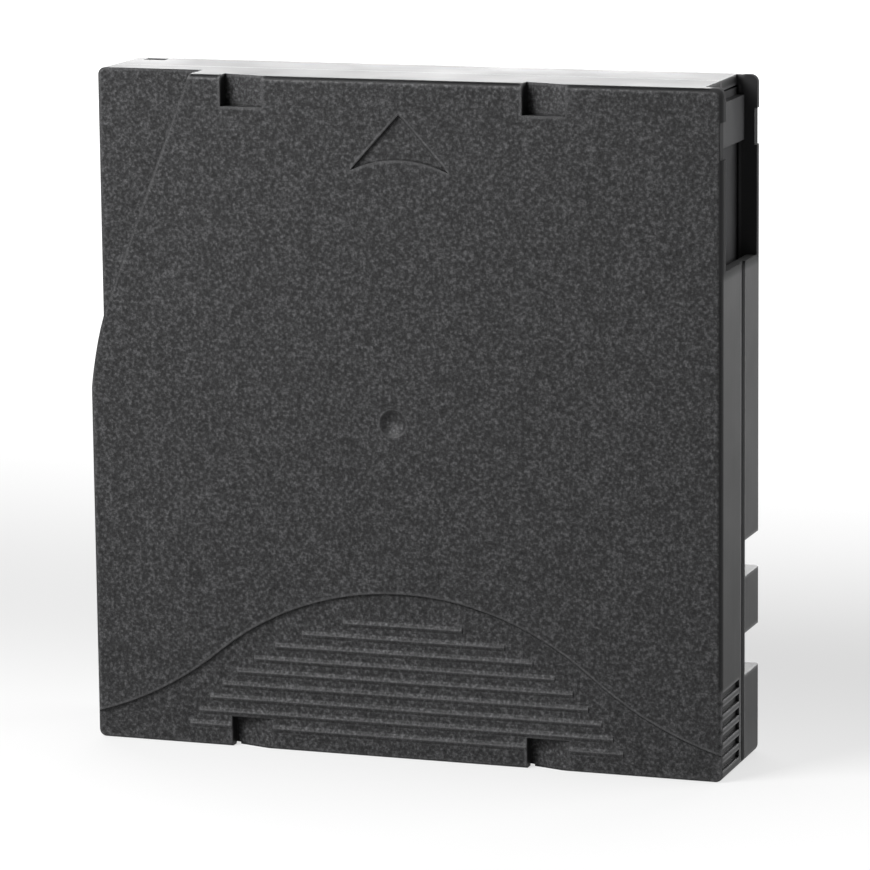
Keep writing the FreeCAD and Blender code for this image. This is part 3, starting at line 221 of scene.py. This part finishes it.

# %% [markdown]
# The light comes from big soft boxes, so shadows are faint and wide. The white of the picture
# could be forced with strong lamps, but the black plastic would turn grey. Instead the paper adds
# a little light of its own to the shading that it gets from the lamps. That light is weakest just
# behind the cartridge, a painted shadow that stands for the studio's own wide shadow there, and
# full far behind it, so floor and wall join unseen. Only the camera and the plastic's mirror image
# of the paper see it. Other light meets a plain matt grey with faint fibres, and Light Path tells
# the two apart.

# %% Mix the paper
PAPER_SHADE = 0.28
PAPER_SHADING = 0.25
GLOW_FROM, GLOW_TO = -0.06, 0.34
GLOW_AND_PAINTED_SHADOW_STOPS = ((0.0, 0.76), (0.17, 0.64), (0.34, 0.46), (0.55, 0.66), (0.78, 0.84), (1.0, 1.0))
FIBRE_SCALE = 900.0
FIBRE_BUMPS = (0.05, 0.0001)

paper_finish, tree, shader = start_finish("studio_paper", 0.9)
shader.inputs["Base Color"].default_value = (PAPER_SHADE, PAPER_SHADE, PAPER_SHADE, 1.0)
shader.inputs["Specular IOR Level"].default_value = 0.1
fibre = add_node(tree, "ShaderNodeTexNoise", {"Scale": FIBRE_SCALE, "Detail": 4.0})
join(tree, shader, Normal=bumps(tree, fibre.outputs["Fac"], *FIBRE_BUMPS))

on_paper = add_node(tree, "ShaderNodeTexCoord")
where = add_node(tree, "ShaderNodeSeparateXYZ", {"Vector": on_paper.outputs["Object"]})
behind = remap(tree, where.outputs["Y"], GLOW_FROM, GLOW_TO)
# The glow dips just behind the cartridge: a painted shadow on the paper.
glow_and_painted_shadow = ramp(tree, behind, [(stop, (level, level, level)) for stop, level in GLOW_AND_PAINTED_SHADOW_STOPS],
                  "B_SPLINE")
glow = add_node(tree, "ShaderNodeEmission", {"Color": glow_and_painted_shadow})
shading = add_node(tree, "ShaderNodeBsdfDiffuse",
                   {"Color": (PAPER_SHADING, PAPER_SHADING, PAPER_SHADING, 1.0)})
bright = add_node(tree, "ShaderNodeAddShader", {0: shading.outputs["BSDF"],
                                                1: glow.outputs["Emission"]})
ray = add_node(tree, "ShaderNodeLightPath")
seen = compute(tree, "MAXIMUM", ray.outputs["Is Camera Ray"], ray.outputs["Is Glossy Ray"])
either = add_node(tree, "ShaderNodeMixShader", {0: seen, 1: shader.outputs["BSDF"],
                                                2: bright.outputs["Shader"]})
tree.links.new(either.outputs["Shader"], tree.nodes["Material Output"].inputs["Surface"])
paper_mesh.materials.append(paper_finish)
print("glow behind the cartridge:", min(level for stop, level in GLOW_AND_PAINTED_SHADOW_STOPS))

# %% [markdown]
# Above the paper there is only the studio's white wall, which the camera sees as plain white and
# the cartridge as a soft fill. It could be a real wall of polygons, but the world's background
# does the same with no seams, and Light Path lets its white for the eye differ from its fill.

# %% Surround it with a white studio
WALL_FILL = 0.16

world = bpy.data.worlds.new("white_studio")
bpy.context.scene.world = world
world.use_nodes = True
tree = world.node_tree
ray = add_node(tree, "ShaderNodeLightPath")
seen = compute(tree, "MAXIMUM", ray.outputs["Is Camera Ray"], ray.outputs["Is Transmission Ray"])
background = tree.nodes["Background"]
tree.links.new(remap(tree, seen, 0.0, 1.0, WALL_FILL, 1.0), background.inputs["Strength"])
background.inputs["Color"].default_value = (1.0, 1.0, 1.0, 1.0)
print("fill light:", WALL_FILL)

# %% [markdown]
# Black plastic shows its form mostly by what it mirrors. A box close by at the upper left lights
# the face and lets it fade towards the lower right, and a wide box behind, above the camera's view,
# turns the front edge on top into a bright band, as in the photograph. A third one on the right
# reaches the door in its recess. Spot lamps would give hard shadows and small glints, so all are
# area lamps, aimed at the middle of the cartridge.

# %% Hang the soft boxes
AIM = Vector((0.0, 0.0, 0.05))


def soft_box(name, place, width, height, radiance):
    """An area lamp that faces the cartridge. Radiance is its surface's brightness, 1 is white."""
    light = bpy.data.lights.new(name, "AREA")
    light.shape = "RECTANGLE"
    light.size = width
    light.size_y = height
    light.energy = radiance * math.pi * width * height
    lamp = bpy.data.objects.new(name, light)
    lamp.location = place
    lamp.rotation_euler = (AIM - Vector(place)).to_track_quat("-Z", "Y").to_euler()
    lamp.visible_camera = False
    bpy.context.scene.collection.objects.link(lamp)
    print(name, "energy %.1f W" % light.energy)


soft_box("key_box", (-0.20, -0.25, 0.33), 0.22, 0.22, 13.8)
soft_box("side_box", (0.55, 0.25, 0.28), 0.45, 0.30, 5.0)
soft_box("back_box", (-0.45, 1.6, 0.50), 2.6, 0.70, 7.6)

# %% [markdown]
# The case is moulded in charcoal plastic and has several skins: a large face with a fine speckled
# grain, a smooth band round its edge that is painted near black as shade, plain walls, a step where
# the two halves meet that is painted pale as light, since it lies in the case's own shadow, and an
# even, dull rim round the doorway, which the mould's slider shaped, painted a lighter grey as light
# on its shaded faces. Each could be painted on an unwrapped picture. Here the normal and the place
# of a point tell its zone, which needs no unwrapping and fits both halves. Each zone is a mask from
# 0 to 1.

# %% Tell the zones of the case apart
FACE_TURN = (0.86, 0.945)
EDGE_TURN = (0.08, 0.01)
INWARD_TURN = (-0.5, -0.9)
STEP_FROM_X = 0.0504
DOORWAY_X = (0.0488, 0.0492)
DOORWAY_Z = (0.0765, 0.0780)


def case_zones(tree, place, outwards):
    """Masks of a half's face, walls, pale step and doorway. Outwards is its side, -1 or 1 in Y."""
    turn = add_node(tree, "ShaderNodeSeparateXYZ", {"Vector": place.outputs["Normal"]})
    spot = add_node(tree, "ShaderNodeSeparateXYZ", {"Vector": place.outputs["Object"]})
    outer = compute(tree, "MULTIPLY", turn.outputs["Y"], outwards)
    face = remap(tree, outer, *FACE_TURN)
    wall = remap(tree, outer, *EDGE_TURN)
    sideways = compute(tree, "ABSOLUTE", spot.outputs["X"])
    at_side = compute(tree, "GREATER_THAN", sideways, STEP_FROM_X)
    step = compute(tree, "MULTIPLY", remap(tree, outer, *INWARD_TURN), at_side)
    beside = remap(tree, spot.outputs["X"], *DOORWAY_X)
    above = remap(tree, spot.outputs["Z"], *DOORWAY_Z)
    off_face = compute(tree, "SUBTRACT", 1.0, face)
    doorway = compute(tree, "MULTIPLY", compute(tree, "MULTIPLY", beside, above), off_face)
    return face, wall, step, doorway


print("doorway from", round(DOORWAY_Z[0] * 1000, 1), "mm up")

# %% [markdown]
# The face's grain comes from a spark-eroded tool: pits about half a millimetre apart, and the
# palest specks of its greys are partly painted glints where the pits would catch the light. The
# walls have faint draw lines where the mould slid off. A solid noise in the piece's own space gives
# the grain, and the same noise stretched along Y gives the lines, so both have their true size on
# every side. On the face, slopes that look up to the upper left are painted lighter and those that
# look down are painted darker, painted light and shade that make the ridges of the grip and the
# dimple readable.

# %% Colour the zones
# Grain greys; the palest specks are partly painted glints of pits catching the light.
GRAIN_AND_GLINT_STOPS = ((0.28, 0.012), (0.45, 0.030), (0.56, 0.055), (0.74, 0.135))
DRAW_LINE_PITCH = 0.0006
DRAW_LINE_STRETCH = (0.02, 1.0, 0.02)
DRAW_LINE_SHARES = (0.8, 1.2)
LIT_SIDE = (-0.45, 0.0, 0.89)
LIT_SLOPES = (-0.30, 0.30)
LIGHT_AND_SHADE_SHARES = (0.58, 1.34)
# The step lies in the case's own shadow, so its pale grey is painted light.
STEP_PAINTED_LIGHT_COLOUR = (0.34, 0.34, 0.345, 1.0)
# Near black: painted shade on the smooth edge band, and the thin painted dark line beside sharp
# edges.
PAINTED_DARK_EDGE_COLOUR = (0.004, 0.004, 0.0045, 1.0)


def zone_colours(tree, place, grain, face, wall, step, wall_shade):
    """The fresh moulding's colour: grained face, plain walls, and painted light and shade on
    slopes, edge and step.
    """
    speckle_and_glints = ramp(tree, grain, [(stop, grey(level)) for stop, level in GRAIN_AND_GLINT_STOPS])
    # Painted light and shade: slopes facing the upper left lighter, slopes facing down darker.
    slope = alignment(tree, place.outputs["Normal"], LIT_SIDE)
    light_and_shade_painted = product(tree, speckle_and_glints, remap(tree, slope, *LIT_SLOPES, *LIGHT_AND_SHADE_SHARES))
    drawn = add_node(tree, "ShaderNodeMapping", {"Vector": place.outputs["Object"],
                                                 "Scale": DRAW_LINE_STRETCH})
    lines = noise(tree, drawn.outputs["Vector"], 1 / DRAW_LINE_PITCH, 2.0)
    plain = two_tone(tree, lines, *[grey(wall_shade * share) for share in DRAW_LINE_SHARES])
    walls = blend(tree, wall, PAINTED_DARK_EDGE_COLOUR, blend(tree, step, plain, STEP_PAINTED_LIGHT_COLOUR))
    return blend(tree, face, walls, light_and_shade_painted)


print("grain greys:", [level for stop, level in GRAIN_AND_GLINT_STOPS])

# %% [markdown]
# Handling leaves marks even on a nearly new cartridge. Sharp edges of the face get a thin dark
# line with a pale one beside it, which is partly worn plastic and partly a painted highlight of the
# edge catching the light, and corners are darkened with painted shade. The marks could be drawn
# along each edge by hand. Instead a bevel finds the edges, because its normal leans away from the
# true one near them, and ambient occlusion finds the corners, by how little open air they see.

# %% Paint worn, highlighted edges and shaded corners
PROBES = 6
EDGE_MARK_REACH = 0.0009
# The pale edge marks are partly worn plastic and partly a painted highlight.
RUBBED_LIT_BENDS = (0.99, 0.95)
RUBBED_LIT_AIR = (0.80, 0.95)
RUBBED_AND_HIGHLIGHT_COLOUR = (0.200, 0.200, 0.204, 1.0)
LINE_BENDS = (0.91, 0.80)
LINE_DEPTH = 0.7
CORNER_REACH = 0.0006
# Corners that see little open air are darkened: painted shade.
CORNER_SHADE_AIR = (0.45, 0.85)
CORNER_SHADE_SHARE = 0.55


def wear_and_painted_light(tree, fresh, cloud, face):
    """A fresh colour with worn and painted-highlight edges, a dark edge line and painted corner
    shade.
    """
    round_off = add_node(tree, "ShaderNodeBevel", {"Radius": EDGE_MARK_REACH}, samples=PROBES)
    geometry = add_node(tree, "ShaderNodeNewGeometry")
    bend = alignment(tree, round_off.outputs["Normal"], geometry.outputs["True Normal"])
    open_air = add_node(tree, "ShaderNodeAmbientOcclusion", {"Distance": CORNER_REACH},
                        samples=PROBES).outputs["AO"]
    exposed = compute(tree, "MULTIPLY", remap(tree, bend, *RUBBED_LIT_BENDS),
                      remap(tree, open_air, *RUBBED_LIT_AIR))
    # Pale edges: worn plastic and painted highlight.
    rubbed_and_lit = blend(tree, compute(tree, "MULTIPLY", exposed, cloud), fresh, RUBBED_AND_HIGHLIGHT_COLOUR)
    line = compute(tree, "MULTIPLY", remap(tree, bend, *LINE_BENDS, 0.0, LINE_DEPTH), face)
    outlined = blend(tree, line, rubbed_and_lit, PAINTED_DARK_EDGE_COLOUR)
    # Darker in corners: painted shade.
    return product(tree, outlined, remap(tree, open_air, *CORNER_SHADE_AIR, CORNER_SHADE_SHARE, 1.0))


print("wear reaches", round(EDGE_MARK_REACH * 1000, 1), "mm in from an edge")

# %% [markdown]
# The two halves come from the same plastic but from two moulds, and the lower one shows a little
# lighter on its walls. They could be two recipes, but one makes both: it takes the zones, colours
# them, adds worn edges and painted light and shade, evens out the doorway's rim with a painted
# lighter grey and gives the face deeper pits than the walls. The roughness follows the grain on the
# face and a slow cloud on the walls.

# %% Mix the grained case plastic
GRAIN_PITCH = 0.00048
CASE_CLOUD_SCALE = 60.0
CASE_SPECULAR = 0.24
SMOOTH_ROUGHNESS = (0.46, 0.54)
COARSE_ROUGHNESS = (0.62, 0.42)
EDGE_SOFTNESS = 0.00018
PIT_STRENGTHS = (0.06, 0.55)
PIT_DEPTH = 0.00006
# The doorway's even grey is painted lighter than the walls: painted light for its shaded inner
# faces.
DOORWAY_PAINTED_LIGHT_COLOUR = (0.032, 0.032, 0.033, 1.0)
DOORWAY_DULLNESS = 0.4


def case_finish(name, outwards, wall_shade):
    """One half's plastic, with its zones, worn edges, painted light and shade, and its skin."""
    finish, tree, shader = start_finish(name, 0.5)
    shader.inputs["Specular IOR Level"].default_value = CASE_SPECULAR
    place = add_node(tree, "ShaderNodeTexCoord")
    face, wall, step, doorway = case_zones(tree, place, outwards)
    grain = noise(tree, place.outputs["Object"], 1 / GRAIN_PITCH, 3.0, 0.6)
    cloud = noise(tree, place.outputs["Object"], CASE_CLOUD_SCALE, 3.0)
    fresh = zone_colours(tree, place, grain, face, wall, step, wall_shade)
    colour = blend(tree, doorway, wear_and_painted_light(tree, fresh, cloud, face), DOORWAY_PAINTED_LIGHT_COLOUR)

    smooth = remap(tree, cloud, *NOISE_SPAN, *SMOOTH_ROUGHNESS)
    coarse = remap(tree, grain, *NOISE_SPAN, *COARSE_ROUGHNESS)
    skin = add_node(tree, "ShaderNodeMix", {"Factor": face, 2: smooth, 3: coarse},
                    data_type="FLOAT").outputs[0]
    rough = compute(tree, "MULTIPLY_ADD", doorway, DOORWAY_DULLNESS, skin)
    soften = add_node(tree, "ShaderNodeBevel", {"Radius": EDGE_SOFTNESS}, samples=4)
    pits = bumps(tree, grain, remap(tree, face, 0.0, 1.0, *PIT_STRENGTHS), PIT_DEPTH,
                 Normal=soften.outputs["Normal"])
    join(tree, shader, Base_Color=colour, Roughness=rough, Normal=pits)
    return finish


upper_finish = case_finish("grained_charcoal_upper", -1.0, 0.014)
lower_finish = case_finish("grained_charcoal_lower", 1.0, 0.025)
print("case finishes:", upper_finish.name, lower_finish.name)

# %% [markdown]
# Door, switch, reel, brake and clip are small mouldings with a plain satin skin. Each could be one
# flat colour, but even a fresh moulding has a faint cloudiness and flow marks, so one recipe takes
# a colour and gives all of them a slow cloud in the colour, another in the gloss and a fine skin.

# %% Mix the satin plastics
SATIN_CLOUD_SCALE = 220.0
SATIN_COLOUR_SHARES = (0.86, 1.12)
SATIN_GLOSS_SHARES = (0.88, 1.12)
SATIN_SKIN_SCALE = 4500.0
SATIN_BUMPS = (0.10, 0.00002)
SATIN_SOFTNESS = 0.00012


def satin_finish(name, colour, roughness, specular=0.5):
    """A moulded satin plastic with faint clouds in colour and gloss."""
    finish, tree, shader = start_finish(name, roughness)
    shader.inputs["Specular IOR Level"].default_value = specular
    place = add_node(tree, "ShaderNodeTexCoord")
    cloud = noise(tree, place.outputs["Object"], SATIN_CLOUD_SCALE, 4.0)
    fine = noise(tree, place.outputs["Object"], SATIN_SKIN_SCALE, 2.0)
    tint = two_tone(tree, cloud, *[[min(part * share, 1.0) for part in colour]
                                   for share in SATIN_COLOUR_SHARES])
    gloss = remap(tree, cloud, *NOISE_SPAN, *[roughness * share for share in SATIN_GLOSS_SHARES])
    soften = add_node(tree, "ShaderNodeBevel", {"Radius": SATIN_SOFTNESS}, samples=4)
    skin = bumps(tree, fine, *SATIN_BUMPS, Normal=soften.outputs["Normal"])
    join(tree, shader, Base_Color=tint, Roughness=gloss, Normal=skin)
    return finish


door_finish = satin_finish("door_satin_charcoal", (0.060, 0.060, 0.062), 0.66, 0.16)
switch_finish = satin_finish("switch_red", (0.42, 0.040, 0.030), 0.40)
reel_finish = satin_finish("reel_pale_grey", (0.60, 0.60, 0.58), 0.36)
pad_finish = satin_finish("release_pad_ivory", (0.74, 0.72, 0.65), 0.38)
brake_finish = satin_finish("brake_cream", (0.66, 0.63, 0.55), 0.40)
clip_finish = satin_finish("clip_grey", (0.28, 0.28, 0.28), 0.42)
print("satin plastics mixed")

# %% [markdown]
# Pins, screws, springs and the washer are steel. A mirror-smooth metal looks like chrome, so each
# gets scratches along the way it was made: round and round for turned and stamped pieces, along
# the strip for rolled ones. Noise that is stretched in one direction is enough for that, and it
# drives both the gloss and a very shallow bump.

# %% Mix the steels
STEEL_MARK_SCALE = 3000.0
STEEL_COLOUR_SHARES = (0.85, 1.1)
STEEL_GLOSS_SHARES = (0.7, 1.3)
STEEL_BUMPS = (0.12, 0.00001)


def steel_finish(name, level, roughness, stretch):
    """Steel with fine marks, drawn out along the axes where stretch is small."""
    finish, tree, shader = start_finish(name, roughness, metallic=1.0)
    place = add_node(tree, "ShaderNodeTexCoord")
    drawn = add_node(tree, "ShaderNodeMapping", {"Vector": place.outputs["Object"],
                                                 "Scale": stretch})
    marks = noise(tree, drawn.outputs["Vector"], STEEL_MARK_SCALE, 3.0)
    tint = two_tone(tree, marks, *[grey(level * share) for share in STEEL_COLOUR_SHARES])
    gloss = remap(tree, marks, *NOISE_SPAN, *[roughness * share for share in STEEL_GLOSS_SHARES])
    join(tree, shader, Base_Color=tint, Roughness=gloss, Normal=bumps(tree, marks, *STEEL_BUMPS))
    return finish


pin_finish = steel_finish("turned_steel", 0.62, 0.22, (0.05, 1.0, 0.05))
screw_finish = steel_finish("zinc_steel", 0.50, 0.34, (1.0, 0.3, 1.0))
wire_finish = steel_finish("spring_wire_steel", 0.52, 0.26, (1.0, 0.4, 0.4))
leaf_finish = steel_finish("rolled_strip_steel", 0.58, 0.28, (0.08, 1.0, 1.0))
washer_finish = steel_finish("stamped_washer_steel", 0.60, 0.24, (1.0, 1.0, 1.0))
print("steels mixed")

# %% [markdown]
# Tape is a dark film with a glossy back. The stretch that leads from the reel to the pin lies open
# behind the door, so its film gets a faint haze in colour and gloss. A clear coat could be laid on
# top, but a low roughness alone already gives the wet look of the film.

# %% Mix the tape film
HAZE_SCALE = 400.0
FILM_ROUGHNESS = (0.18, 0.30)

tape_finish, tree, shader = start_finish("tape_film_dark", 0.24)
place = add_node(tree, "ShaderNodeTexCoord")
haze = noise(tree, place.outputs["Object"], HAZE_SCALE, 3.0)
join(tree, shader, Base_Color=two_tone(tree, haze, grey(0.018), grey(0.026)),
     Roughness=remap(tree, haze, 0.0, 1.0, *FILM_ROUGHNESS))
print("tape film's roughness:", FILM_ROUGHNESS)

# %% [markdown]
# Wound on the reel, the tape's edges make thousands of turns that read as very fine rings. Real
# turns would be far too many polygons, so the rings are a noise of the distance from the reel's
# axis, which needs only the length of a vector. The round outside of the pack has one distance
# everywhere, so there the same finish stays an even gloss.

# %% Mix the wound tape
RING_SCALE = 5000.0
RING_ROUGHNESS = (0.22, 0.42)
RING_BUMPS = (0.2, 0.00002)

reel_low, reel_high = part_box("tape_pack")
reel_axis = (reel_low + reel_high) / 2
pack_finish, tree, shader = start_finish("wound_tape_edges", 0.3)
place = add_node(tree, "ShaderNodeTexCoord")
flat = product(tree, place.outputs["Object"], (1.0, 0.0, 1.0))
radius = add_node(tree, "ShaderNodeVectorMath", {0: flat, 1: (reel_axis.x, 0.0, reel_axis.z)},
                  operation="DISTANCE").outputs["Value"]
rings = add_node(tree, "ShaderNodeTexNoise", {"W": radius, "Scale": RING_SCALE, "Detail": 4.0},
                 noise_dimensions="1D").outputs["Fac"]
join(tree, shader, Base_Color=two_tone(tree, rings, grey(0.020), grey(0.055)),
     Roughness=remap(tree, rings, 0.0, 1.0, *RING_ROUGHNESS),
     Normal=bumps(tree, rings, *RING_BUMPS))
print("tape pack radius in mm:", round((reel_high.x - reel_low.x) * 500, 1))

# %% [markdown]
# The cartridge memory is a sliver of circuit board in a corner, read from outside without contact
# through the plastic. Its lacquer is green over a faint weave of glass cloth, so two crossed waves
# modulate the colour. A picture of a real board could be pasted on, but would be out of scale.

# %% Mix the board lacquer
WEAVE_SCALE = 900.0
WEAVE_BUMPS = (0.1, 0.00002)

board_finish, tree, shader = start_finish("board_green_lacquer", 0.3)
shader.inputs["Coat Weight"].default_value = 0.4
place = add_node(tree, "ShaderNodeTexCoord")
threads = [add_node(tree, "ShaderNodeTexWave", {"Vector": place.outputs["Object"],
                                                "Scale": WEAVE_SCALE},
                    bands_direction=direction).outputs["Fac"] for direction in ("X", "DIAGONAL")]
cloth = compute(tree, "MULTIPLY", *threads)
lacquer = ramp(tree, cloth, ((0.0, (0.020, 0.110, 0.045)), (1.0, (0.030, 0.160, 0.070))))
join(tree, shader, Base_Color=lacquer, Normal=bumps(tree, cloth, *WEAVE_BUMPS))
print("board lacquer mixed")

# %% [markdown]
# Each solid now gets its finish. A solid that came in from CAD keeps its mesh, and only what its
# material slots hold is changed, so a table from piece to finish is all that it takes.

# %% Dress the solids
finishes = {
    "upper_case": upper_finish,
    "lower_case": lower_finish,
    "door": door_finish,
    "write_protect_slider": switch_finish,
    "reel_hub": reel_finish,
    "upper_flange": reel_finish,
    "release_pad": pad_finish,
    "brake": brake_finish,
    "tape_clip": clip_finish,
    "tape_leader": tape_finish,
    "tape_pack": pack_finish,
    "leader_pin": pin_finish,
    "pin_spring": leaf_finish,
    "reel_washer": washer_finish,
    "cartridge_memory": board_finish,
}
for name in nodes:
    if name.startswith("case_screw_"):
        finishes[name] = screw_finish
for name, finish in finishes.items():
    slots = nodes[name].data.materials
    if not slots:
        slots.append(finish)
    for number in range(len(slots)):
        slots[number] = finish
print("dressed:", len(finishes), "of", len(nodes))

# %% [markdown]
# Two coil springs work inside: a long thin one closes the door, and a wide one pushes the brake
# into the reel. The solids stand for them as plain helices with open ends. A bought spring has
# closed ends, where the last turns lie flat on each other, so the helix that the wire follows
# climbs by only the wire's thickness in its first and last turn, and evenly in between.

# %% Follow the spring's wire
STEPS_A_TURN = 40


def wire_path(coil, height, wire, turns):
    """Points of a helix along +Z with one closed turn at each end. Coil and wire are radii."""
    closed_pitch = wire * 2
    open_pitch = (height - wire * 6) / (turns - 2)
    levels = [0.0]
    for step in range(1, turns * STEPS_A_TURN + 1):
        along = step / STEPS_A_TURN
        pitch = closed_pitch if min(along, turns - along) < 1.0 else open_pitch
        levels.append(levels[-1] + pitch / STEPS_A_TURN)
    scale = (height - 2 * wire) / levels[-1]
    points = []
    for step, level in enumerate(levels):
        angle = 2 * math.pi * step / STEPS_A_TURN
        points.append(Vector((coil * math.cos(angle), coil * math.sin(angle),
                              wire + level * scale)))
    return points


print("steps a turn:", STEPS_A_TURN)

# %% [markdown]
# The wire itself is a tube: a ring of points is carried along the helix and each ring is joined to
# the next. A curve with a round bevel could do it too, but the spring must flatten as its joint
# moves, and for that it has to be a mesh.

# %% Wind a spring
RING_POINTS = 12


def coil_spring(name, coil, wire, height, turns):
    """A closed tube mesh that follows the spring's wire."""
    path = wire_path(coil, height, wire, turns)
    verts = []
    for index, point in enumerate(path):
        ahead = path[min(index + 1, len(path) - 1)] - path[max(index - 1, 0)]
        outwards = Vector((point.x, point.y, 0.0)).normalized()
        across = ahead.cross(outwards).normalized()
        for spoke in range(RING_POINTS):
            angle = 2 * math.pi * spoke / RING_POINTS
            verts.append(point + (outwards * math.cos(angle) + across * math.sin(angle)) * wire)
    faces = []
    for ring in range(len(path) - 1):
        for spoke in range(RING_POINTS):
            here = ring * RING_POINTS + spoke
            beside = ring * RING_POINTS + (spoke + 1) % RING_POINTS
            faces.append((here, here + RING_POINTS, beside + RING_POINTS, beside))
    faces.append(tuple(range(RING_POINTS)))
    faces.append(tuple(reversed(range(len(verts) - RING_POINTS, len(verts)))))
    mesh = bpy.data.meshes.new(name)
    mesh.from_pydata(verts, [], faces)
    mesh.polygons.foreach_set("use_smooth", [len(face) == 4 for face in faces])
    mesh.materials.append(wire_finish)
    mesh.update()
    spring = bpy.data.objects.new(name, mesh)
    bpy.context.scene.collection.objects.link(spring)
    return spring


print("wire ring:", RING_POINTS, "points")

# %% [markdown]
# The door's spring stands upright against the right wall and shortens as the door slides back. It
# takes its coil and its length from the box of the solid that it replaces. It rides on the case,
# with its origin at its lower end.

# %% Set the door's spring in place
DOOR_SPRING_TURNS = 16
DOOR_WIRE = 0.0002

door_low, door_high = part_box("door_spring")
door_length = door_high.z - door_low.z
door_spring = coil_spring("door_spring_wire", (door_high.x - door_low.x) / 2 - DOOR_WIRE,
                          DOOR_WIRE, door_length, DOOR_SPRING_TURNS)
door_spring.location = ((door_low.x + door_high.x) / 2, (door_low.y + door_high.y) / 2,
                        door_low.z)
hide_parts("door_spring")
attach(door_spring, "case")
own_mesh(door_spring)
print("door spring in mm:", round(door_length * 1000, 1))

# %% [markdown]
# The brake's spring lies along the reel's axis and shortens as a drive lifts the brake. The tube
# was wound along +Z, so it is tipped over first, to lie along +Y.

# %% Set the brake's spring in place
BRAKE_SPRING_TURNS = 6
BRAKE_WIRE = 0.0004

brake_low, brake_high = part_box("brake_spring")
brake_length = brake_high.y - brake_low.y
brake_spring = coil_spring("brake_spring_wire", (brake_high.x - brake_low.x) / 2 - BRAKE_WIRE,
                           BRAKE_WIRE, brake_length, BRAKE_SPRING_TURNS)
brake_spring.rotation_euler = (-math.pi / 2, 0, 0)
brake_spring.location = ((brake_low.x + brake_high.x) / 2, brake_low.y,
                         (brake_low.z + brake_high.z) / 2)
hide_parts("brake_spring")
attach(brake_spring, "case")
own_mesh(brake_spring)
print("brake spring in mm:", round(brake_length * 1000, 1))

# %% [markdown]
# Last come the view settings. The Standard view shows each colour as it was mixed.

# %% Set the view
bpy.context.scene.view_settings.view_transform = "Standard"
